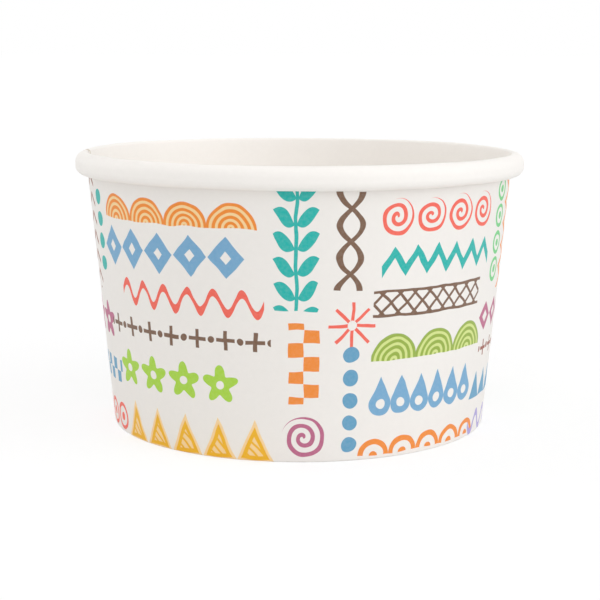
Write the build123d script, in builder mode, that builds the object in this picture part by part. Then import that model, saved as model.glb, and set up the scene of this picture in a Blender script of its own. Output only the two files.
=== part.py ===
"""Paper dessert cup: a printed board side wall wrapped round a recessed board base.

The cup is two cut pieces of coated paperboard. The side wall is one blank, wrapped to a cone and
glued along a lap at the side. Its top edge is rolled outwards into a hollow rim, and its bottom
edge is folded inwards and up into a hem. The base is a disc with its edge turned down, and that
flange is sealed between the wall and the hem.

Units are millimetres. +Z is up, and the origin is at the centre of the foot, on the table.
The lap is near -X.
"""

import os
from math import atan, cos, degrees, sin, tan

from build123d import *

# Driving dimensions
HEIGHT = 58.3
RIM_DIAMETER = 96.0  # over the rolled rim
NECK_DIAMETER = 90.6  # outside of the wall, level with the bottom of the roll
FOOT_DIAMETER = 80.8  # outside of the wall, on the table
ROLL_HEIGHT = 4.6
WALL_BOARD = 0.4
BASE_BOARD = 0.35
BASE_RECESS = 7.0  # from the table to the underside of the base
HEM_HEIGHT = 6.0
LAP_WIDTH = 8.0
LAP_BEARING = 173.0  # degrees from +X round to the lap's middle
LAP_CLIMB = 3.5  # where the outer ply climbs onto the inner one

# Bends and clearances
CREST_RADIUS = 0.25  # inside the tight bend at the top of the wall
TUCK_RADIUS = 0.45  # inside the roll, where its edge turns up beside the wall
TUCK_LENGTH = 0.8
TUCK_GAP = 0.05
FOLD_RADIUS = 0.3  # outside the fold that the cup stands on
BASE_CORNER_RADIUS = 1.2
LAP_SINK = 0.1  # how far the lap's outer ply is let into the wall, so that they join

# The wall's taper
FOOT_RADIUS = FOOT_DIAMETER / 2
NECK_HEIGHT = HEIGHT - ROLL_HEIGHT
TAPER = atan((NECK_DIAMETER - FOOT_DIAMETER) / 2 / NECK_HEIGHT)
UP_THE_WALL = Vector(sin(TAPER), cos(TAPER))


def wall_radius(height: float, depth: float = 0.0) -> float:
    """Radius at a height, at a depth inwards from the wall's printed face."""
    return FOOT_RADIUS + height * tan(TAPER) - depth / cos(TAPER)


# The roll, measured on the printed face, which is the roll's inside
roll_radius = RIM_DIAMETER / 2 - WALL_BOARD
roll_top = HEIGHT - WALL_BOARD
crest_start = roll_top - CREST_RADIUS * (1 - sin(TAPER))
shoulder_radius = roll_radius - wall_radius(crest_start) - CREST_RADIUS * cos(TAPER)
tuck_height = NECK_HEIGHT + WALL_BOARD + TUCK_RADIUS
under_radius = roll_radius - wall_radius(tuck_height, -(TUCK_RADIUS + WALL_BOARD + TUCK_GAP))
flank_bottom = NECK_HEIGHT + WALL_BOARD + under_radius

# Side wall: the printed face and the inner face run from the hem's free edge to the end of the roll
hem_depth = 2 * WALL_BOARD + BASE_BOARD
with BuildPart() as sidewall:
    with BuildSketch(Plane.XZ) as wall_section:
        with BuildLine():
            free_edges = []
            for depth in (0, WALL_BOARD):
                crest_foot = crest_start + depth * sin(TAPER)
                wall = Polyline(
                    (wall_radius(HEM_HEIGHT, hem_depth - depth), HEM_HEIGHT),
                    (wall_radius(depth, hem_depth - depth), depth),
                    (wall_radius(depth, depth), depth),
                    (wall_radius(crest_foot, depth), crest_foot),
                )
                crest = JernArc(wall @ 1, UP_THE_WALL, CREST_RADIUS + depth, degrees(TAPER) - 90)
                shoulder = JernArc(crest @ 1, (1, 0), shoulder_radius + depth, -90)
                flank = Line(shoulder @ 1, (roll_radius + depth, flank_bottom))
                under = JernArc(flank @ 1, (0, -1), under_radius + depth, -90)
                tuck = JernArc(under @ 1, (-1, 0), TUCK_RADIUS + depth, degrees(TAPER) - 90)
                tuck_end = Line(tuck @ 1, tuck @ 1 + UP_THE_WALL * TUCK_LENGTH)
                free_edges.append((wall @ 0, tuck_end @ 1))
            for start, end in zip(*free_edges):
                Line(start, end)
        make_face()
        fillet(wall_section.vertices().group_by(Axis.Y)[0], radius=FOLD_RADIUS)
    revolve(axis=Axis.Z)

    # Lap: the outer ply climbs over the blank's other edge and ends in a cut step
    for lap_height in (FOLD_RADIUS, NECK_HEIGHT):
        with BuildSketch(Plane.XY.offset(lap_height)):
            inner = wall_radius(lap_height, LAP_SINK)
            outer = wall_radius(lap_height, -WALL_BOARD)
            half_lap = degrees(LAP_WIDTH / 2 / outer)
            climb = degrees(LAP_CLIMB / outer)
            with BuildLine():
                top = CenterArc((0, 0), outer, LAP_BEARING - half_lap, 2 * half_lap)
                under_side = CenterArc((0, 0), inner, LAP_BEARING - half_lap, 2 * half_lap + climb)
                Line(top @ 0, under_side @ 0)
                Line(top @ 1, under_side @ 1)
            make_face()
    loft(ruled=True)
sidewall.part.label = "sidewall"

# Base: a disc whose edge turns down into a flange that fills the hem
base_top = BASE_RECESS + BASE_BOARD
flange_top = wall_radius(base_top, WALL_BOARD)
corner_reach = BASE_CORNER_RADIUS * (cos(TAPER) + sin(TAPER) * tan(TAPER) + tan(TAPER))
with BuildPart() as base_disc:
    with BuildSketch(Plane.XZ):
        with BuildLine():
            disc = Line((0, base_top), (flange_top - corner_reach, base_top))
            corner = JernArc(disc @ 1, (1, 0), BASE_CORNER_RADIUS, -90 - degrees(TAPER))
            Line(corner @ 1, (wall_radius(WALL_BOARD, WALL_BOARD), WALL_BOARD))
            offset(amount=BASE_BOARD, side=Side.RIGHT)
        make_face()
    revolve(axis=Axis.Z)
base_disc.part.label = "base_disc"

os.makedirs("parts", exist_ok=True)
export_step(sidewall.part, "parts/sidewall.step")
export_step(base_disc.part, "parts/base_disc.step")

print(f"roll: shoulder radius {shoulder_radius + WALL_BOARD:.2f}, underside {under_radius + WALL_BOARD:.2f}")
print(f"taper {degrees(TAPER):.2f} degrees")
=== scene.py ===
"""Looks of the paper dessert cup: its wrapped side wall, its base, their boards and print, and the studio."""

import logging
import math
from dataclasses import dataclass, field
from enum import Enum
from typing import Any, Iterable

import bpy
import numpy as np
from mathutils import Euler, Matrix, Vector


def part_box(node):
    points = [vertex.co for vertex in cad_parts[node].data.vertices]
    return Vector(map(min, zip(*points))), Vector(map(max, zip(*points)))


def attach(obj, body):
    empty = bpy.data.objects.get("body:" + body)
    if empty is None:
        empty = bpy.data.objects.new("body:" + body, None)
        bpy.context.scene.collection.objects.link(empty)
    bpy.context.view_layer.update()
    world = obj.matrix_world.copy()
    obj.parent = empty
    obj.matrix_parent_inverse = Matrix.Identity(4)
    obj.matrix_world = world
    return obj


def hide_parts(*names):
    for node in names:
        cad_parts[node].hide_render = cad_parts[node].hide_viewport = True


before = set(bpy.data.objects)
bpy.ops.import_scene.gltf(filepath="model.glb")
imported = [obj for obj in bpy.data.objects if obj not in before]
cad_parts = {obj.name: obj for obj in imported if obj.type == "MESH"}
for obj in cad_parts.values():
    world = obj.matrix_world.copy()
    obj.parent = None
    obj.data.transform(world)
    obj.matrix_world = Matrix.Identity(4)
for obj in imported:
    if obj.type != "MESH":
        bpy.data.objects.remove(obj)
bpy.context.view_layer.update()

MM = 0.001
log = logging.getLogger("dessert_cup")


# ---------------------------------------------------------------------------------------------
# Shader maths
# ---------------------------------------------------------------------------------------------


class Value:
    """A number socket that takes part in Python expressions."""

    def __init__(self, graph: "Graph", socket: bpy.types.NodeSocket) -> None:
        """Keeps the socket and the graph that new nodes go into."""
        self.graph = graph
        self.socket = socket

    def __add__(self, other: "Number") -> "Value":
        """Adds a value or a number."""
        return self.graph.math("ADD", self, other)

    def __sub__(self, other: "Number") -> "Value":
        """Subtracts a value or a number."""
        return self.graph.math("SUBTRACT", self, other)

    def __rsub__(self, other: float) -> "Value":
        """Subtracts this value from a number."""
        return self.graph.math("SUBTRACT", other, self)

    def __mul__(self, other: "Number") -> "Value":
        """Multiplies by a value or a number."""
        return self.graph.math("MULTIPLY", self, other)

    def __truediv__(self, other: "Number") -> "Value":
        """Divides by a value or a number."""
        return self.graph.math("DIVIDE", self, other)

    def __abs__(self) -> "Value":
        """Drops the sign."""
        return self.graph.math("ABSOLUTE", self)

    __radd__ = __add__
    __rmul__ = __mul__

    def least(self, other: "Number") -> "Value":
        """The smaller of this and another value."""
        return self.graph.math("MINIMUM", self, other)

    def most(self, other: "Number") -> "Value":
        """The larger of this and another value."""
        return self.graph.math("MAXIMUM", self, other)

    def sine(self) -> "Value":
        """The sine of an angle in radians."""
        return self.graph.math("SINE", self)

    def repeat(self, low: float, high: float) -> "Value":
        """Starts again from low each time it reaches high."""
        return self.graph.math("WRAP", self, high, low)

    def zigzag(self, reach: float) -> "Value":
        """Runs from 0 up to a reach and back again."""
        return self.graph.math("PINGPONG", self, reach)

    def radius(self, other: "Value") -> "Value":
        """The distance from the origin of the point with these two coordinates."""
        return self.graph.math("SQRT", self.graph.math("MULTIPLY_ADD", other, other, self * self))

    def angle(self, other: "Value") -> "Value":
        """The angle, in radians, of the point whose height is this and whose reach is the other."""
        return self.graph.math("ARCTAN2", self, other)


Number = Value | float


class Graph:
    """A node tree that is filled by expressions and by one method for every other node."""

    def __init__(self, tree: bpy.types.NodeTree) -> None:
        """Keeps the tree."""
        self.tree = tree

    def node(
        self,
        kind: str,
        settings: dict[str, Any] | None = None,
        sockets: dict[str | int, Any] | None = None,
    ) -> bpy.types.Node:
        """Adds a node.

        Args:
            kind: the node's type, without the word ShaderNode.
            settings: attributes that are set before the sockets.
            sockets: for each input, by name or number, a value, a Value or a socket to link.

        Returns:
            The new node.
        """
        made = self.tree.nodes.new("ShaderNode" + kind)
        for name, setting in (settings or {}).items():
            setattr(made, name, setting)
        for name, source in (sockets or {}).items():
            if isinstance(source, Value):
                source = source.socket
            if isinstance(source, bpy.types.NodeSocket):
                self.tree.links.new(source, made.inputs[name])
            else:
                made.inputs[name].default_value = source
        return made

    def math(self, operation: str, *values: Number, clamp: bool = False) -> Value:
        """Adds a Math node.

        Args:
            operation: what it works out.
            values: its inputs, in order.
            clamp: whether the result is held between 0 and 1.

        Returns:
            Its result.
        """
        settings = {"operation": operation, "use_clamp": clamp}
        return Value(self, self.node("Math", settings, dict(enumerate(values))).outputs[0])

    def colour_mix(self, factor: Number, first: Any, second: Any) -> bpy.types.NodeSocket:
        """Mixes two colours.

        Args:
            factor: how much of the second colour is taken.
            first: a colour or a colour socket.
            second: a colour or a colour socket.

        Returns:
            The mixed colour's socket.
        """
        mixed = self.node("Mix", {"data_type": "RGBA"}, {0: factor, 6: first, 7: second})
        return mixed.outputs[2]


# ---------------------------------------------------------------------------------------------
# Modelling
# ---------------------------------------------------------------------------------------------


def deselect_everything() -> None:
    """Leaves object mode with nothing selected and nothing active."""
    if bpy.context.object and bpy.context.object.mode != "OBJECT":
        bpy.ops.object.mode_set(mode="OBJECT")
    bpy.ops.object.select_all(action="DESELECT")


def editing(piece: bpy.types.Object) -> None:
    """Makes a piece the active one and goes into edit mode on its vertices."""
    deselect_everything()
    bpy.context.view_layer.objects.active = piece
    piece.select_set(True)
    bpy.ops.object.mode_set(mode="EDIT")
    bpy.ops.mesh.select_mode(type="VERT")


class Outline:
    """A chain of edges in the XZ plane, drawn by extruding and spinning its last vertex."""

    def __init__(self, name: str, start: Vector) -> None:
        """Starts the chain.

        Args:
            name: the piece's name.
            start: the first point, in metres.
        """
        deselect_everything()
        bpy.ops.mesh.primitive_plane_add(size=MM, location=start)
        self.piece = bpy.context.object
        self.piece.name = self.piece.data.name = name
        self.end = start.copy()
        self.heading = Vector((0.0, 0.0, 1.0))
        bpy.ops.object.transform_apply(location=True)
        editing(self.piece)
        bpy.ops.mesh.select_all(action="SELECT")
        bpy.ops.mesh.merge(type="CENTER")

    def line_to(self, end: Vector, steps: int = 1) -> None:
        """Draws a straight run.

        Args:
            end: where it ends, in metres.
            steps: the number of edges.
        """
        run = end - self.end
        for _ in range(steps):
            bpy.ops.mesh.extrude_region_move(TRANSFORM_OT_translate={"value": run / steps})
        self.end, self.heading = end.copy(), run.normalized()

    def bend(self, radius: float, degrees: float, steps: int) -> None:
        """Draws an arc that carries on from the last heading.

        Args:
            radius: its radius, in metres.
            degrees: how far it turns, positive towards +Z from +X.
            steps: the number of edges.
        """
        side = Vector((-self.heading.z, 0.0, self.heading.x)) * math.copysign(1.0, degrees)
        centre = self.end + side * radius
        turn = Euler((0.0, -math.radians(degrees), 0.0)).to_matrix()
        bpy.ops.mesh.spin(
            steps=steps, angle=math.radians(degrees), center=centre, axis=(0.0, 1.0, 0.0)
        )
        self.end = centre + turn @ (self.end - centre)
        self.heading = turn @ self.heading

    def finish(self) -> bpy.types.Object:
        """Leaves edit mode.

        Returns:
            The piece, with the chain as its mesh.
        """
        bpy.ops.object.mode_set(mode="OBJECT")
        return self.piece


def apply_modifier(piece: bpy.types.Object, kind: str, settings: dict[str, Any]) -> None:
    """Adds a modifier and applies it.

    Args:
        piece: the piece.
        kind: the modifier's type.
        settings: its settings.
    """
    modifier = piece.modifiers.new(kind.title(), kind)
    for name, setting in settings.items():
        setattr(modifier, name, setting)
    deselect_everything()
    bpy.context.view_layer.objects.active = piece
    piece.select_set(True)
    bpy.ops.object.modifier_apply(modifier=modifier.name)


def vertex_places(piece: bpy.types.Object) -> np.ndarray:
    """The places of a piece's vertices, one row each, in metres."""
    places = np.empty(len(piece.data.vertices) * 3)
    piece.data.vertices.foreach_get("co", places)
    return places.reshape(-1, 3)


def chain_lengths(piece: bpy.types.Object, start: Vector) -> np.ndarray:
    """Distances along an open chain of edges.

    Args:
        piece: the piece, with the chain as its mesh.
        start: the place of one of the chain's ends.

    Returns:
        For each vertex, its distance from that end along the chain, in metres.
    """
    places = vertex_places(piece)
    neighbours: dict[int, list[int]] = {}
    for edge in piece.data.edges:
        first, second = edge.vertices
        neighbours.setdefault(first, []).append(second)
        neighbours.setdefault(second, []).append(first)
    lengths = np.full(len(places), -1.0)
    vertex = int(np.argmin(np.linalg.norm(places - np.array(start), axis=1)))
    lengths[vertex] = 0.0
    while ahead := [i for i in neighbours[vertex] if lengths[i] < 0]:
        step = np.linalg.norm(places[ahead[0]] - places[vertex])
        lengths[ahead[0]] = lengths[vertex] + step
        vertex = ahead[0]
    return lengths


def corners_vertices(mesh: bpy.types.Mesh) -> np.ndarray:
    """The vertex of each face corner of a mesh."""
    vertices = np.empty(len(mesh.loops), int)
    mesh.loops.foreach_get("vertex_index", vertices)
    return vertices


def spin_round(piece: bpy.types.Object, steps: int, degrees: float) -> None:
    """Spins a whole mesh about the cup's axis.

    Args:
        piece: the piece, with its outline as its mesh.
        steps: the number of faces round it.
        degrees: how far it is spun.
    """
    editing(piece)
    bpy.ops.mesh.select_all(action="SELECT")
    bpy.ops.mesh.spin(
        steps=steps, angle=math.radians(degrees), center=(0.0, 0.0, 0.0), axis=(0.0, 0.0, -1.0)
    )
    bpy.ops.object.mode_set(mode="OBJECT")


def weigh(piece: bpy.types.Object, name: str, weights: np.ndarray) -> None:
    """Adds a vertex group.

    Args:
        piece: the piece.
        name: the group's name.
        weights: a weight for each vertex, from 0 to 1.
    """
    group = piece.vertex_groups.new(name=name)
    for weight in np.unique(weights[weights > 0]):
        group.add([int(i) for i in np.flatnonzero(weights == weight)], float(weight), "REPLACE")


def smooth_step(low: float, high: float, values: np.ndarray) -> np.ndarray:
    """A smooth rise from 0 at low to 1 at high."""
    share = np.clip((values - low) / (high - low), 0.0, 1.0)
    return share * share * (3.0 - 2.0 * share)


@dataclass
class SideWall:
    """The printed blank, wrapped to a cone, with its rim rolled and its foot folded in.

    Sizes are in metres. The outline follows the printed face, and the board's thickness is
    added behind it.
    """

    foot_radius: float = 40.4 * MM
    neck_radius: float = 45.3 * MM
    roll_height: float = 4.6 * MM
    board: float = 0.4 * MM
    flange_gap: float = 0.35 * MM
    hem_height: float = 6.0 * MM
    fold_radius: float = 0.45 * MM
    crest_radius: float = 0.25 * MM
    tuck_radius: float = 0.45 * MM
    tuck_gap: float = 0.05 * MM
    lap_bearing: float = 173.0
    lap_degrees: float = 10.4
    climb_degrees: float = 5.0
    columns: int = 280
    unevenness: float = 0.35 * MM

    def __post_init__(self) -> None:
        """Works out the taper from the frame's height."""
        low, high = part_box("sidewall")
        self.height = high.z
        self.rim_radius = (high.x - low.x) / 2
        self.neck_height = self.height - self.roll_height
        self.slope = (self.neck_radius - self.foot_radius) / self.neck_height
        self.taper = math.atan(self.slope)
        self.hem_depth = 2 * self.board + self.flange_gap

    def radius_at(self, height: float, depth: float = 0.0) -> float:
        """Radius at a height, at a depth inwards from the printed face, all in metres."""
        return self.foot_radius + height * self.slope - depth / math.cos(self.taper)

    def on_wall(self, height: float, depth: float = 0.0) -> Vector:
        """The point of the outline at a height and a depth behind the printed face."""
        return Vector((self.radius_at(height, depth), 0.0, height))

    def draw_outline(self) -> bpy.types.Object:
        """Draws the printed face's outline from the hem's free edge to the end of the roll."""
        corner = self.fold_radius * math.tan((math.pi / 2 - self.taper) / 2)
        far_corner = self.fold_radius * math.tan((math.pi / 2 + self.taper) / 2)
        taper_degrees = math.degrees(self.taper)
        roll_radius = self.rim_radius - self.board
        roll_top = self.height - self.board
        tuck_height = self.neck_height + self.board + self.tuck_radius
        tuck_out = self.tuck_radius + self.board + self.tuck_gap
        under_radius = roll_radius - self.radius_at(tuck_height, -tuck_out)
        crest_start = roll_top - self.crest_radius * (1 - math.sin(self.taper))
        crest_reach = self.crest_radius * math.cos(self.taper)
        shoulder_radius = roll_radius - self.radius_at(crest_start) - crest_reach
        flank_bottom = self.neck_height + self.board + under_radius

        outline = Outline("sidewall_board", self.on_wall(self.hem_height, self.hem_depth))
        outline.line_to(self.on_wall(far_corner * math.cos(self.taper), self.hem_depth), 3)
        outline.bend(self.fold_radius, 90.0 + taper_degrees, 6)
        outline.line_to(Vector((self.foot_radius - corner, 0.0, 0.0)))
        outline.bend(self.fold_radius, 90.0 - taper_degrees, 6)
        outline.line_to(self.on_wall(crest_start), 26)
        outline.bend(self.crest_radius, taper_degrees - 90.0, 5)
        outline.bend(shoulder_radius, -90.0, 12)
        outline.line_to(Vector((roll_radius, 0.0, flank_bottom)), 2)
        outline.bend(under_radius, -90.0, 10)
        outline.bend(self.tuck_radius, taper_degrees - 90.0, 5)
        return outline.finish()

    def wrap(self, piece: bpy.types.Object) -> None:
        """Spins the outline past a full turn, and lays the blank's flat coordinates on it.

        The map named Blank holds millimetres round the wall, from the front to the right, and
        up it. The blank starts and ends at the lap, on the left.

        Args:
            piece: the piece, with its outline as its mesh.
        """
        places = vertex_places(piece)
        along = chain_lengths(piece, self.on_wall(self.hem_height, self.hem_depth))
        foot = along[np.argmin(places[:, 2] + np.abs(places[:, 0] - self.foot_radius))]
        attribute = piece.data.attributes.new("up_the_blank", "FLOAT", "POINT")
        attribute.data.foreach_set("value", (along - foot) / MM)
        turn = 360.0 + self.lap_degrees
        start = self.lap_bearing + self.lap_degrees / 2
        piece.rotation_euler.z = math.radians(start)
        bpy.ops.object.transform_apply(rotation=True)
        spin_round(piece, self.columns, -turn)
        mesh = piece.data
        self.up = np.empty(len(mesh.vertices))
        mesh.attributes["up_the_blank"].data.foreach_get("value", self.up)
        mesh.attributes.remove(mesh.attributes["up_the_blank"])
        self.turned = np.arange(len(self.up)) // len(along) * turn / self.columns
        middle_radius = self.radius_at(self.height / 2) / MM
        across = np.radians(start + 90.0 - self.turned) * middle_radius
        blank = mesh.uv_layers.new(name="Blank")
        blank.uv.foreach_set("vector", np.stack([across, self.up], 1)[corners_vertices(mesh)].ravel())

    def overlap(self, piece: bpy.types.Object) -> None:
        """Lifts the blank's end onto its start, and lets the wall wander a little.

        The two layers are pressed together under the foot and in the roll.

        Args:
            piece: the wrapped piece, whose faces point out of the printed side.
        """
        climbed = smooth_step(360.0 - self.climb_degrees, 360.0, self.turned)
        under_foot = 1.0 - smooth_step(0.7, 2.0, np.abs(self.up))
        rolled = smooth_step(self.neck_height / MM, self.neck_height / MM + 3.0, self.up)
        weigh(piece, "lap", np.round(climbed * (1.0 - 0.9 * under_foot - 0.5 * rolled), 3))
        weigh(piece, "free", np.round(smooth_step(2.0, 30.0, self.up), 2))
        apply_modifier(
            piece, "DISPLACE", {"strength": self.board, "mid_level": 0.0, "vertex_group": "lap"}
        )
        wander = bpy.data.textures.new("wander", "CLOUDS")
        wander.noise_scale = 22 * MM
        apply_modifier(
            piece,
            "DISPLACE",
            {
                "texture": wander,
                "texture_coords": "LOCAL",
                "strength": self.unevenness,
                "mid_level": 0.5,
                "vertex_group": "free",
            },
        )
        piece.vertex_groups.clear()

    def thicken(self, piece: bpy.types.Object) -> None:
        """Gives the board its thickness, with one material slot for each face and one for the cut edge."""
        apply_modifier(
            piece,
            "SOLIDIFY",
            {
                "thickness": self.board,
                "offset": -1.0,
                "material_offset": 1,
                "material_offset_rim": 2,
            },
        )

    def build(self, finishes: list[bpy.types.Material]) -> bpy.types.Object:
        """Models the side wall.

        Args:
            finishes: the materials of the printed face, the inner face and the cut edge.

        Returns:
            The piece.
        """
        piece = self.draw_outline()
        for finish in finishes:
            piece.data.materials.append(finish)
        self.wrap(piece)
        face_outwards(piece)
        self.overlap(piece)
        sheet = len(piece.data.vertices)
        self.thicken(piece)
        self.lay_flat(piece, sheet)
        smooth(piece)
        return piece

    def lay_flat(self, piece: bpy.types.Object, sheet: int) -> None:
        """Lays every face out once in a unit square, as the map that the finish is baked to.

        The printed face takes two large rows, cut in the middle of the blank. The inner face
        takes a low strip above them, and the cut edges take thin lines above that.

        Args:
            piece: the piece, with its thickness.
            sheet: the number of vertices on its printed face, which come first.
        """
        mesh = piece.data
        corners = len(mesh.loops)
        blank = np.empty(corners * 2)
        mesh.uv_layers["Blank"].uv.foreach_get("vector", blank)
        across, up = blank.reshape(-1, 2).T
        behind = corners_vertices(mesh) >= sheet
        sides, material, first = (np.empty(len(mesh.polygons), int) for _ in range(3))
        mesh.polygons.foreach_get("loop_total", sides)
        mesh.polygons.foreach_get("material_index", material)
        mesh.polygons.foreach_get("loop_start", first)
        face = np.repeat(np.arange(len(sides)), sides)
        face_across = np.add.reduceat(across, first) / sides
        face_up = np.add.reduceat(up, first) / sides
        left, right = across.min(), across.max()
        low, high = up.min(), up.max()
        middle = (left + right) / 2
        folded = 0.2 * (np.minimum(up + 1.0, 0.0) + np.maximum(up - 56.0, 0.0))
        raised = np.clip(up, -1.0, 56.0) + folded
        scale = 0.965 / (middle - left)
        row = face_across[face] > middle
        tall = (raised.max() - raised.min()) * scale
        x = 0.005 + (across - left - row * (middle - left)) * scale
        y = 0.005 + (raised - raised.min()) * scale + row * (tall + 0.01)
        share = (across - left) / (right - left)
        inner = material[face] == 1
        x[inner] = 0.005 + 0.965 * share[inner]
        y[inner] = 0.86 + 0.07 * (up[inner] - low) / (high - low)
        cut = material[face] == 2
        ends = (face_across < left + 0.01) | (face_across > right - 0.01)
        shelf = np.where(face_up > (low + high) / 2, 1, 0)
        shelf[ends] = np.where(face_across[ends] > middle, 3, 2)
        run = np.where(ends[face], (up - low) / (high - low), share)
        x[cut] = 0.005 + 0.965 * run[cut]
        y[cut] = 0.94 + 0.012 * shelf[face[cut]] + 0.006 * behind[cut]
        flat = mesh.uv_layers.new(name="OFBake")
        flat.uv.foreach_set("vector", np.stack([x, y], 1).ravel())


def face_outwards(piece: bpy.types.Object) -> None:
    """Turns an open sheet's faces so that the largest of them looks away from the axis."""
    largest = max(piece.data.polygons, key=lambda face: face.area)
    if largest.normal.xy.dot(largest.center.xy) < 0:
        editing(piece)
        bpy.ops.mesh.select_all(action="SELECT")
        bpy.ops.mesh.flip_normals()
        bpy.ops.object.mode_set(mode="OBJECT")


def smooth(piece: bpy.types.Object, degrees: float = 50.0) -> None:
    """Shades a piece smooth, except across edges sharper than an angle in degrees."""
    deselect_everything()
    bpy.context.view_layer.objects.active = piece
    piece.select_set(True)
    bpy.ops.object.shade_smooth_by_angle(angle=math.radians(degrees))


@dataclass
class Base:
    """The recessed disc of board, with its edge turned down between the wall and the hem."""

    wall: SideWall
    board: float = 0.33 * MM
    corner_radius: float = 1.2 * MM
    clearance: float = 0.01 * MM
    columns: int = 160
    unevenness: float = 0.25 * MM

    def build(self, finishes: list[bpy.types.Material]) -> bpy.types.Object:
        """Models the base.

        Args:
            finishes: the materials of the face in the cup, the face below and the cut edge.

        Returns:
            The piece.
        """
        wall, top = self.wall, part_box("base_disc")[1].z
        depth = wall.board + self.clearance
        taper = wall.taper
        reach = self.corner_radius * (math.cos(taper) + math.tan(taper) * (1 + math.sin(taper)))
        outline = Outline("base_board", Vector((0.0, 0.0, top)))
        outline.line_to(Vector((wall.radius_at(top, depth) - reach, 0.0, top)), 20)
        outline.bend(self.corner_radius, -90.0 - math.degrees(taper), 8)
        outline.line_to(wall.on_wall(wall.board, depth), 4)
        piece = outline.finish()
        for finish in finishes:
            piece.data.materials.append(finish)
        spin_round(piece, self.columns, 360.0)
        close_doubles(piece)
        radii = np.linalg.norm(vertex_places(piece)[:, :2], axis=1) / MM
        weigh(piece, "slack", np.round(1.0 - smooth_step(26.0, 37.0, radii), 2))
        creases = bpy.data.textures.new("slack", "CLOUDS")
        creases.noise_scale = 30 * MM
        apply_modifier(
            piece,
            "DISPLACE",
            {
                "texture": creases,
                "texture_coords": "LOCAL",
                "strength": self.unevenness,
                "mid_level": 0.5,
                "vertex_group": "slack",
            },
        )
        piece.vertex_groups.clear()
        apply_modifier(
            piece,
            "SOLIDIFY",
            {
                "thickness": self.board,
                "offset": -1.0,
                "material_offset": 1,
                "material_offset_rim": 2,
            },
        )
        self.lay_flat(piece, top)
        smooth(piece)
        return piece

    def lay_flat(self, piece: bpy.types.Object, top: float) -> None:
        """Lays both faces out as discs side by side, as the map that the finish is baked to.

        Args:
            piece: the piece, with its thickness.
            top: the height of its upper face.
        """
        mesh = piece.data
        places = vertex_places(piece)
        vertices = corners_vertices(mesh)
        sides, material = (np.empty(len(mesh.polygons), int) for _ in range(2))
        mesh.polygons.foreach_get("loop_total", sides)
        mesh.polygons.foreach_get("material_index", material)
        kind = np.repeat(material, sides)
        lower = vertices >= len(places) // 2
        radius = np.linalg.norm(places[:, :2], axis=1)
        drop = np.maximum(top - places[:, 2], 0.0)[vertices]
        reach = radius[vertices] + drop
        edge = kind == 2
        reach[edge] = reach[edge & ~lower].max() + self.board * (1.0 + 2.0 * lower[edge])
        way = places[vertices][:, :2] / np.maximum(radius[vertices], 1e-9)[:, None]
        scale = 0.24 / reach.max()
        centre = np.stack([np.where(kind == 1, 0.75, 0.25), np.full(len(kind), 0.25)], 1)
        flat = mesh.uv_layers.new(name="OFBake")
        flat.uv.foreach_set("vector", (centre + way * reach[:, None] * scale).ravel())


def close_doubles(piece: bpy.types.Object) -> None:
    """Merges what lies on itself after a full turn, and points the faces outwards."""
    editing(piece)
    bpy.ops.mesh.select_all(action="SELECT")
    bpy.ops.mesh.remove_doubles(threshold=0.001 * MM)
    bpy.ops.mesh.normals_make_consistent(inside=False)
    bpy.ops.object.mode_set(mode="OBJECT")


# ---------------------------------------------------------------------------------------------
# Print
# ---------------------------------------------------------------------------------------------


class Ink(Enum):
    """The print's inks, as sRGB values out of 255."""

    ORANGE = (244, 140, 44)
    LIGHT_ORANGE = (250, 164, 100)
    CORAL = (246, 100, 82)
    AMBER = (244, 184, 30)
    PEACH = (253, 216, 156)
    BLUE = (96, 160, 196)
    STEEL = (116, 170, 208)
    TEAL = (0, 180, 172)
    LIME = (170, 216, 62)
    OLIVE = (150, 176, 70)
    PALE_LIME = (214, 228, 140)
    GREEN = (112, 208, 130)
    BROWN = (120, 88, 66)
    RED_BROWN = (152, 76, 54)
    PLUM = (188, 98, 134)
    LAVENDER = (174, 162, 218)

    @property
    def colour(self) -> tuple[float, float, float, float]:
        """The ink as a linear colour."""
        return linear(self.value)


def linear(levels: tuple[int, int, int]) -> tuple[float, float, float, float]:
    """Turns sRGB levels out of 255 into a linear colour with full alpha."""
    shares = (level / 255 for level in levels)
    red, green, blue = (
        share / 12.92 if share <= 0.04045 else ((share + 0.055) / 1.055) ** 2.4 for share in shares
    )
    return (red, green, blue, 1.0)


@dataclass(frozen=True)
class Row:
    """A row of one repeated figure, in millimetres on the flat blank."""

    ink: Ink
    across: float
    up: float
    figures: int
    pitch: float
    height: float
    stroke: float = 0.8
    turn: float = 0.0

    def shortfall(self, x: Value, cell: Value, y: Value) -> Value:
        """How far a place is from the ink.

        Args:
            x: the place along the row, from its middle.
            cell: the same, from the middle of the nearest figure.
            y: the place across the row, from its middle.

        Returns:
            The distance in millimetres, negative in the ink.
        """
        raise NotImplementedError

    def cover(self, graph: Graph, place: bpy.types.NodeSocket, softness: float) -> Value:
        """Where the row puts ink.

        Args:
            graph: the material's graph.
            place: the coordinates on the flat blank.
            softness: the width of the ink's edge.

        Returns:
            The share of ink, from 0 to 1.
        """
        turned = graph.node(
            "Mapping",
            {"vector_type": "TEXTURE"},
            {0: place, 1: (self.across, self.up, 0.0), 2: (0.0, 0.0, math.radians(self.turn))},
        )
        split = graph.node("SeparateXYZ", sockets={0: turned.outputs[0]})
        x, y = (Value(graph, split.outputs[i]) for i in (0, 1))
        half = self.pitch / 2
        cell = x.repeat(-half, half) if self.figures % 2 else x.repeat(0.0, self.pitch) - half
        gap = self.shortfall(x, cell, y).most(abs(x) - half * self.figures)
        return graph.math("MULTIPLY_ADD", gap, -1.0 / softness, 0.5, clamp=True)


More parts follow.
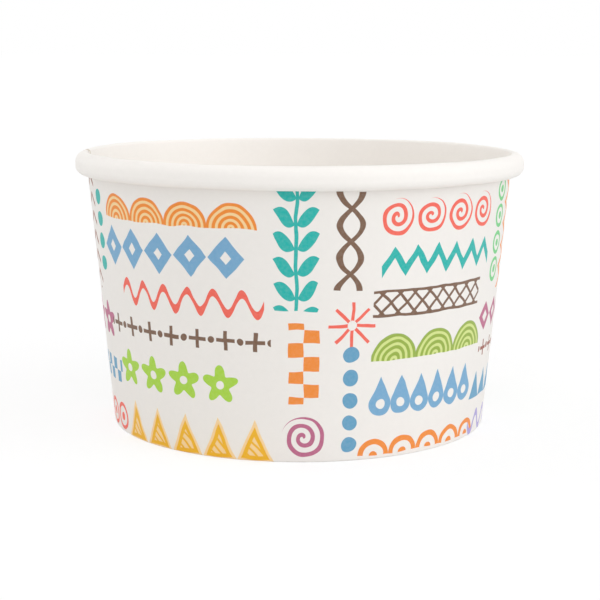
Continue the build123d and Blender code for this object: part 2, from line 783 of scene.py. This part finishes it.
class ZigZags(Row):
    """A line that runs up and down in straight strokes."""

    def shortfall(self, x: Value, cell: Value, y: Value) -> Value:
        """Distance from the strokes."""
        rise = self.height - self.stroke
        lean = math.hypot(1.0, 2 * rise / self.pitch)
        climb = x.zigzag(self.pitch / 2) * (2 * rise / self.pitch) - rise / 2
        return abs(y - climb) * (1 / lean) - self.stroke / 2


class Waves(Row):
    """A line that runs up and down in curves."""

    def shortfall(self, x: Value, cell: Value, y: Value) -> Value:
        """Distance from the line."""
        climb = (x * (math.tau / self.pitch)).sine() * ((self.height - self.stroke) / 2)
        return abs(y - climb) * 0.72 - self.stroke / 2


class Braids(Row):
    """Two curved lines that cross."""

    def shortfall(self, x: Value, cell: Value, y: Value) -> Value:
        """Distance from the nearer line."""
        climb = (x * (math.pi / self.pitch)).sine() * ((self.height - self.stroke) / 2)
        return abs(abs(y) - abs(climb)) * 0.75 - self.stroke / 2


class Dots(Row):
    """Solid discs."""

    def shortfall(self, x: Value, cell: Value, y: Value) -> Value:
        """Distance from the disc."""
        return cell.radius(y) - self.height / 2


class Rings(Row):
    """Rings with a dot in the middle."""

    def shortfall(self, x: Value, cell: Value, y: Value) -> Value:
        """Distance from the ring or its dot."""
        radius = cell.radius(y)
        ring = abs(radius - (self.height - self.stroke) / 2) - self.stroke / 2
        return ring.least(radius - self.height * 0.16)


class Swirls(Row):
    """Round coils."""

    def shortfall(self, x: Value, cell: Value, y: Value) -> Value:
        """Distance from the coil."""
        spacing = self.stroke * 2.2
        radius = cell.radius(y)
        arm = (radius - y.angle(cell) * (spacing / math.tau)).repeat(-spacing / 2, spacing / 2)
        return (abs(arm) - self.stroke / 2).most(radius - self.height / 2)


class Rainbows(Row):
    """Half discs of arcs, one inside another, open below."""

    def shortfall(self, x: Value, cell: Value, y: Value) -> Value:
        """Distance from the nearest arc."""
        spacing = self.stroke * 1.9
        radius = cell.radius(y + self.height / 2)
        arcs = abs((radius - self.height).repeat(-spacing / 2, spacing / 2)) - self.stroke / 2
        outside = radius - self.height - self.stroke / 2
        return arcs.most(outside.most(0.0 - y - self.height / 2))


class Scallops(Row):
    """A hem of half rings."""

    def shortfall(self, x: Value, cell: Value, y: Value) -> Value:
        """Distance from the half ring or the dot under it."""
        low = y + self.height / 2
        radius = cell.radius(low)
        ring = abs(radius - (self.pitch - self.stroke) / 2) - self.stroke / 2
        return ring.least(radius - self.stroke * 0.9).most(0.0 - low)


class Triangles(Row):
    """Triangles that stand side by side."""

    def shortfall(self, x: Value, cell: Value, y: Value) -> Value:
        """Distance from the triangle."""
        steep = 2 * self.height / self.pitch
        side = (abs(cell) * steep + y - self.height / 2) * (1 / math.hypot(1.0, steep))
        return side.most(0.0 - y - self.height / 2)


class Pennants(Triangles):
    """Triangles that are drawn round and hatched."""

    def shortfall(self, x: Value, cell: Value, y: Value) -> Value:
        """Distance from the line round the triangle or the hatching in it."""
        inside = super().shortfall(x, cell, y)
        edge = abs(inside + self.stroke * 1.2) - self.stroke / 2
        spacing = self.stroke * 2.4
        hatch = abs((x + y).repeat(-spacing / 2, spacing / 2)) * 0.7 - self.stroke * 0.28
        return edge.least(hatch.most(inside + self.stroke * 1.4))


class Diamonds(Row):
    """Diamonds with a hole in the middle."""

    def shortfall(self, x: Value, cell: Value, y: Value) -> Value:
        """Distance from the diamond."""
        wide, tall = self.pitch * 0.48, self.height / 2
        lean = math.hypot(wide, tall)
        side = abs(cell) * (tall / lean) + abs(y) * (wide / lean) - wide * tall / lean
        return side.most(0.0 - side - self.stroke)


class Crosses(Row):
    """Crosses and small dots in turn."""

    def shortfall(self, x: Value, cell: Value, y: Value) -> Value:
        """Distance from the cross or the dot between two crosses."""
        out, high = abs(cell), abs(y)
        arm, thick = self.height / 2, self.stroke / 2
        cross = (out - arm).most(high - thick).least((out - thick).most(high - arm))
        return cross.least((out - self.pitch / 2).radius(y) - self.stroke * 0.9)


class Chevrons(Row):
    """Arrowheads that follow each other."""

    def shortfall(self, x: Value, cell: Value, y: Value) -> Value:
        """Distance from the strokes."""
        high = abs(y)
        half = self.pitch / 2
        return (abs((x + high * 0.8).repeat(-half, half)) * 0.78 - self.stroke / 2).most(
            high - self.height / 2
        )


class Sprigs(Row):
    """A stem with pairs of leaves."""

    def shortfall(self, x: Value, cell: Value, y: Value) -> Value:
        """Distance from a leaf or the stem."""
        high = abs(y)
        half = self.pitch / 2
        reach = self.height * 0.24
        out = high * (1 / reach) - self.height * 0.26 / reach
        leaf = abs((x - high * 0.7).repeat(-half, half)) + (out * out - 1.0) * (self.pitch * 0.34)
        return (leaf * 0.75).least(high - self.stroke / 2)


class Chequers(Row):
    """Two lines of squares, set off by half."""

    def shortfall(self, x: Value, cell: Value, y: Value) -> Value:
        """Distance from the square."""
        upper = x.graph.math("GREATER_THAN", y, 0.0)
        half = self.pitch / 2
        shifted = (x + upper * half).repeat(-half, half)
        return (abs(shifted) - self.pitch / 4).most(abs(y) - self.height / 2)


class Domes(Row):
    """Solid half discs."""

    def shortfall(self, x: Value, cell: Value, y: Value) -> Value:
        """Distance from the half disc."""
        low = y + self.height / 2
        return (cell.radius(low) - self.height).most(0.0 - low)


class Lattices(Row):
    """Crossed slanting lines between two rails."""

    def shortfall(self, x: Value, cell: Value, y: Value) -> Value:
        """Distance from the nearest line."""
        half = self.pitch / 2
        rise = abs((x + y).repeat(-half, half))
        fall = abs((x - y).repeat(-half, half))
        rail = abs(abs(y) - (self.height - self.stroke) / 2) - self.stroke / 2
        lines = (rise.least(fall) * 0.7 - self.stroke / 2).most(abs(y) - self.height / 2)
        return lines.least(rail)


class Flowers(Row):
    """Flowers with five petals round an open middle."""

    def shortfall(self, x: Value, cell: Value, y: Value) -> Value:
        """Distance from the petals."""
        radius = cell.radius(y)
        petals = (y.angle(cell) * 5.0).sine() * (self.height * 0.12) + self.height * 0.38
        return (radius - petals).most(self.height * 0.11 - radius)


class Stars(Row):
    """Bursts of eight thin rays."""

    def shortfall(self, x: Value, cell: Value, y: Value) -> Value:
        """Distance from the nearest ray."""
        radius = cell.radius(y)
        share = y.angle(cell).repeat(-math.pi / 8, math.pi / 8)
        return (abs(share.sine() * radius) - self.stroke / 2).most(abs(radius - self.height * 0.3) - self.height * 0.2)


class Drops(Row):
    """Drops with the point up."""

    def shortfall(self, x: Value, cell: Value, y: Value) -> Value:
        """Distance from the drop."""
        round_end = self.height * 0.3
        lean = math.asin(round_end / (self.height - round_end))
        middle = round_end - self.height / 2
        ball = cell.radius(y - middle) - round_end
        point = abs(cell) * math.cos(lean) + y * math.sin(lean) - self.height / 2 * math.sin(lean)
        shoulder = middle + round_end * math.sin(lean)
        drop = ball.least(point.most(shoulder - y))
        return drop.most(0.0 - drop - self.stroke)


class Dashes(Row):
    """Short strokes end to end."""

    def shortfall(self, x: Value, cell: Value, y: Value) -> Value:
        """Distance from the stroke."""
        return (abs(cell) - self.pitch * 0.32).most(abs(y) - self.stroke / 2)


PRINT = (
    # From the lap on the left to the front's middle
    Dots(Ink.AMBER, -72, 30, 9, 4.8, 3.2, turn=90),
    Waves(Ink.GREEN, -64, 41, 4, 6.4, 5.4, 1.3, 90),
    Chevrons(Ink.RED_BROWN, -56.5, 42, 6, 4.0, 5.4, 0.7, 90),
    Dots(Ink.TEAL, -50.5, 43, 4, 4.6, 3.2, turn=90),
    Flowers(Ink.PLUM, -56, 24, 2, 8.6, 8.0),
    Chequers(Ink.BLUE, -57, 13.5, 5, 4.4, 5.0),
    Rings(Ink.CORAL, -58, 3.5, 4, 6.4, 5.8, 0.8),
    Domes(Ink.PEACH, -27, 48.6, 4, 9.6, 4.6),
    Rainbows(Ink.ORANGE, -27, 48.6, 4, 9.6, 4.6, 0.62),
    Diamonds(Ink.STEEL, -29, 40.5, 5, 7.6, 8.2, 1.9),
    Waves(Ink.CORAL, -24, 31.6, 6, 5.8, 5.2, 1.2),
    Crosses(Ink.BROWN, -27, 24.2, 7, 6.2, 3.9, 0.8),
    Flowers(Ink.LIME, -29, 15.2, 4, 8.6, 8.0),
    Triangles(Ink.PEACH, -25, 4, 5, 8.0, 8.6),
    Pennants(Ink.AMBER, -25, 4, 5, 8.0, 8.6, 0.8),
    # The front's middle
    Sprigs(Ink.TEAL, -0.5, 42.5, 5, 4.8, 8.6, 0.7, 90),
    Chequers(Ink.ORANGE, 1, 20, 3, 5.4, 6.0, turn=90),
    Swirls(Ink.PLUM, 1, 5, 1, 9.0, 8.8, 0.9),
    Braids(Ink.BROWN, 9.5, 44, 3, 6.4, 5.2, 0.9, 90),
    Stars(Ink.CORAL, 10.5, 27.5, 1, 9.4, 9.4, 0.65),
    Dots(Ink.BLUE, 10.5, 12.5, 5, 4.6, 3.2, turn=90),
    # From the front's middle to its right edge
    Swirls(Ink.CORAL, 30, 48.5, 4, 7.6, 7.2, 0.8),
    ZigZags(Ink.TEAL, 31, 39.8, 6, 5.0, 5.0, 1.3),
    Lattices(Ink.BROWN, 29, 31.6, 8, 3.6, 5.4, 0.55),
    Domes(Ink.PALE_LIME, 30, 22.6, 3, 10.4, 5.0),
    Rainbows(Ink.OLIVE, 30, 22.6, 3, 10.4, 5.0, 0.66),
    Drops(Ink.STEEL, 29, 12.8, 6, 4.8, 8.0, 1.4),
    Scallops(Ink.ORANGE, 30, 3.0, 5, 7.0, 4.4, 1.1),
    Rings(Ink.GREEN, 51, 43.5, 4, 5.6, 5.0, 0.8, 90),
    ZigZags(Ink.ORANGE, 57.5, 42, 5, 4.6, 4.6, 1.0, 90),
    Diamonds(Ink.PLUM, 55, 25.5, 3, 6.6, 6.4, 1.3),
    Crosses(Ink.RED_BROWN, 55, 18.6, 3, 5.6, 3.4, 0.7),
    Triangles(Ink.BLUE, 55, 11.0, 4, 5.4, 5.6),
    Waves(Ink.LAVENDER, 55, 2.5, 3, 6.6, 5.0, 1.1),
    # Round the back
    Dashes(Ink.AMBER, 64.5, 40, 6, 4.2, 1.4, 1.5, 90),
    Sprigs(Ink.GREEN, 73, 29, 9, 5.0, 8.4, 0.7, 90),
    Scallops(Ink.BLUE, 98, 49, 5, 7.4, 5.0, 1.1),
    Crosses(Ink.CORAL, 98, 41.6, 6, 6.4, 4.2, 1.0),
    Domes(Ink.PEACH, 97, 32.6, 3, 11.0, 5.4),
    Rainbows(Ink.AMBER, 97, 32.6, 3, 11.0, 5.4, 0.7),
    Chevrons(Ink.BROWN, 99, 23.4, 8, 4.6, 6.0, 0.9),
    Diamonds(Ink.LIME, 97, 14.0, 4, 8.2, 8.4, 1.9),
    Braids(Ink.TEAL, 98, 3.6, 5, 7.4, 5.6, 1.1),
    Dots(Ink.CORAL, 122, 43, 5, 4.6, 3.2, turn=90),
    Flowers(Ink.LAVENDER, 122, 17, 3, 8.8, 8.2, turn=90),
    Chequers(Ink.STEEL, 131, 38, 6, 4.6, 5.4, turn=90),
    Waves(Ink.RED_BROWN, 131, 11, 3, 6.4, 4.6, 0.8, 90),
    Triangles(Ink.PALE_LIME, 156, 49, 5, 7.6, 8.0),
    Pennants(Ink.OLIVE, 156, 49, 5, 7.6, 8.0, 0.7),
    Drops(Ink.CORAL, 156, 39, 7, 5.0, 7.6, 1.3),
    ZigZags(Ink.BROWN, 155, 30.4, 7, 5.2, 4.2, 0.7),
    Swirls(Ink.BLUE, 156, 21.2, 4, 9.2, 8.8, 0.95),
    Lattices(Ink.PLUM, 155, 12.0, 9, 3.8, 5.2, 0.6),
    Rings(Ink.TEAL, 156, 3.0, 6, 6.4, 5.8, 0.9),
    Stars(Ink.ORANGE, 181, 46.5, 1, 9.6, 9.6, 0.7),
    Braids(Ink.GREEN, 181, 27, 4, 6.6, 6.0, 1.0, 90),
    Triangles(Ink.AMBER, 181, 6, 2, 6.0, 6.0),
    Sprigs(Ink.PLUM, 190, 38, 6, 5.0, 7.6, 0.7, 90),
    Diamonds(Ink.BLUE, 190, 12, 3, 6.6, 6.4, 1.3, 90),
)


@dataclass(frozen=True)
class Board:
    """A plain face of coated paperboard, or its cut edge."""

    name: str
    white: tuple[int, int, int]
    roughness: float
    mottling: float = 0.02
    fibre_height: float = 0.006 * MM
    roughness_spread: float = 0.05
    gloss: float = 0.3

    def surface(self, graph: Graph) -> bpy.types.NodeSocket:
        """The colour of the face before anything else lies on it."""
        where = graph.node("TexCoord").outputs["Object"]
        clouds = graph.node(
            "TexNoise", sockets={"Vector": where, "Scale": 900.0, "Detail": 3.0, "Roughness": 0.6}
        )
        clear = linear(self.white)
        shaded = tuple(level * (1 - self.mottling * 2) for level in clear[:3]) + (1.0,)
        return graph.colour_mix(Value(graph, clouds.outputs[0]), clear, shaded)

    def material(self) -> bpy.types.Material:
        """Makes the material.

        Returns:
            The material.
        """
        made = bpy.data.materials.new(self.name)
        made.use_nodes = True
        graph = Graph(made.node_tree)
        shader = made.node_tree.nodes["Principled BSDF"]
        where = graph.node("TexCoord").outputs["Object"]
        fibres = graph.node(
            "TexNoise", sockets={"Vector": where, "Scale": 2600.0, "Detail": 4.0, "Roughness": 0.65}
        )
        grain = Value(graph, fibres.outputs[0])
        relief = graph.node(
            "Bump", sockets={"Strength": 1.0, "Distance": self.fibre_height, "Height": grain}
        )
        patches = graph.node("TexNoise", sockets={"Vector": where, "Scale": 120.0, "Detail": 2.0})
        dullness = (Value(graph, patches.outputs[0]) - 0.5) * (2 * self.roughness_spread) + self.roughness
        for name, source in (
            ("Base Color", self.dressed(graph, self.surface(graph))),
            ("Roughness", dullness.socket),
            ("Normal", relief.outputs[0]),
        ):
            graph.tree.links.new(source, shader.inputs[name])
        shader.inputs["Specular IOR Level"].default_value = self.gloss
        return made

    def dressed(self, graph: Graph, colour: bpy.types.NodeSocket) -> bpy.types.NodeSocket:
        """Lays print over the face's own colour; a plain face has none."""
        return colour


@dataclass(frozen=True)
class PrintedBoard(Board):
    """The outer face of the wall, with the print's rows inked over it."""

    rows: tuple[Row, ...] = ()
    edge_softness: float = 0.07
    hand_wander: float = 0.55
    patchiness: float = 0.16

    def dressed(self, graph: Graph, colour: bpy.types.NodeSocket) -> bpy.types.NodeSocket:
        """Inks the rows one after another over the board."""
        blank = graph.node("UVMap", {"uv_map": "Blank"}).outputs[0]
        wander = graph.node(
            "TexNoise", sockets={"Vector": blank, "Scale": 0.16, "Detail": 1.5, "Roughness": 0.6}
        )
        centred = graph.node(
            "VectorMath", {"operation": "SUBTRACT"}, {0: wander.outputs["Color"], 1: (0.5, 0.5, 0.5)}
        )
        moved = graph.node(
            "VectorMath", {"operation": "SCALE"}, {0: centred.outputs[0], "Scale": 2 * self.hand_wander}
        )
        place = graph.node("VectorMath", {"operation": "ADD"}, {0: blank, 1: moved.outputs[0]})
        patches = graph.node("TexNoise", sockets={"Vector": blank, "Scale": 1.6, "Detail": 4.0})
        strength = (Value(graph, patches.outputs[0]) - 0.5) * self.patchiness + (1 - self.patchiness / 4)
        for row in self.rows:
            cover = row.cover(graph, place.outputs[0], self.edge_softness) * strength
            colour = graph.colour_mix(cover, colour, row.ink.colour)
        return colour


# ---------------------------------------------------------------------------------------------
# Studio
# ---------------------------------------------------------------------------------------------


@dataclass(frozen=True)
class Lamp:
    """A broad, distant, soft light."""

    name: str
    azimuth: float
    elevation: float
    strength: float
    spread: float
    tint: tuple[int, int, int] = (255, 255, 255)

    def place(self) -> None:
        """Adds the lamp; azimuth is in degrees from the front, towards the right."""
        data = bpy.data.lights.new(self.name, "SUN")
        data.energy = self.strength
        data.angle = math.radians(self.spread)
        data.color = linear(self.tint)[:3]
        lamp = bpy.data.objects.new(self.name, data)
        lamp.rotation_euler = (math.radians(90.0 - self.elevation), 0.0, math.radians(self.azimuth))
        bpy.context.scene.collection.objects.link(lamp)


@dataclass
class Studio:
    """A white floor, soft lamps and the camera."""

    floor_size: float = 60.0
    floor_bounce: float = 0.88
    floor_glow: float = 0.7
    floor_glow_strength: float = 1.04
    sky: float = 0.42
    lamps: tuple[Lamp, ...] = (
        Lamp("key", 75.0, 18.0, 0.94, 50.0, (250, 252, 255)),
        Lamp("front", 0.0, 25.0, 0.68, 60.0),
        Lamp("edge", -110.0, 8.0, 0.76, 60.0),
        Lamp("overhead", 0.0, 88.0, 0.88, 90.0),
    )
    camera_place: tuple[float, float, float] = (0.00024, -0.3191, 0.0792)
    camera_pitch: float = -9.565
    camera_roll: float = 0.24
    lens: float = 88.4

    def white_to_the_eye(self, graph: Graph, otherwise: float) -> Value:
        """One for rays that are seen, and another number for rays that light the object."""
        path = graph.node("LightPath")
        seen = [Value(graph, path.outputs[f"Is {kind} Ray"]) for kind in ("Camera", "Glossy", "Transmission")]
        return seen[0].most(seen[1]).most(seen[2]) * (1.0 - otherwise) + otherwise

    def build(self) -> None:
        """Makes the floor, the world, the lamps and the camera."""
        deselect_everything()
        bpy.ops.mesh.primitive_plane_add(size=self.floor_size)
        floor = bpy.context.object
        floor.name = "floor"
        paper = bpy.data.materials.new("white_floor")
        paper.use_nodes = True
        graph = Graph(paper.node_tree)
        paper.node_tree.nodes.remove(paper.node_tree.nodes["Principled BSDF"])
        level = self.white_to_the_eye(graph, self.floor_bounce)
        colour = graph.colour_mix(level, (0.0, 0.0, 0.0, 1.0), (1.0, 1.0, 1.0, 1.0))
        matte = graph.node("BsdfDiffuse", sockets={"Color": colour})
        glow = graph.node("Emission", sockets={"Strength": self.floor_glow_strength})
        share = self.white_to_the_eye(graph, 0.0) * self.floor_glow
        mixed = graph.node("MixShader", sockets={0: share, 1: matte.outputs[0], 2: glow.outputs[0]})
        output = paper.node_tree.nodes["Material Output"]
        graph.tree.links.new(mixed.outputs[0], output.inputs["Surface"])
        floor.data.materials.append(paper)

        world = bpy.data.worlds.new("studio")
        world.use_nodes = True
        graph = Graph(world.node_tree)
        background = world.node_tree.nodes["Background"]
        background.inputs["Color"].default_value = (1.0, 1.0, 1.0, 1.0)
        graph.tree.links.new(self.white_to_the_eye(graph, self.sky).socket, background.inputs["Strength"])
        bpy.context.scene.world = world

        for lamp in self.lamps:
            lamp.place()

        data = bpy.data.cameras.new("camera")
        data.lens = self.lens
        data.clip_start = 0.01
        camera = bpy.data.objects.new("camera", data)
        camera.location = self.camera_place
        aim = Euler((math.radians(90.0 + self.camera_pitch), 0.0, 0.0)).to_matrix()
        roll = Euler((0.0, 0.0, math.radians(self.camera_roll))).to_matrix()
        camera.rotation_euler = (aim @ roll).to_euler()
        bpy.context.scene.collection.objects.link(camera)
        bpy.context.scene.camera = camera
        bpy.context.scene.view_settings.view_transform = "Standard"


def main() -> None:
    """Builds the cup and the studio."""
    logging.basicConfig(level=logging.INFO, format="%(message)s")
    Studio().build()
    inside = Board("coated_inside", (253, 249, 244), 0.55)
    edge = Board("cut_edge", (238, 232, 222), 0.85, mottling=0.06, fibre_height=0.03 * MM)
    printed = PrintedBoard("printed_outside", (246, 242, 237), 0.5, rows=PRINT)
    below = Board("uncoated_underside", (240, 237, 231), 0.75, mottling=0.035, fibre_height=0.012 * MM)
    side_wall = SideWall()
    materials = [finish.material() for finish in (printed, inside, edge, below)]
    for piece, node, slot in (
        (side_wall.build(materials[:3]), "sidewall", "wall_board"),
        (Base(side_wall).build([materials[1], materials[3], materials[2]]), "base_disc", "base_board"),
    ):
        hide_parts(node)
        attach(piece, "root")
        log.info("%s: %d faces", piece.name, len(piece.data.polygons))


if __name__ == "__main__":
    main()
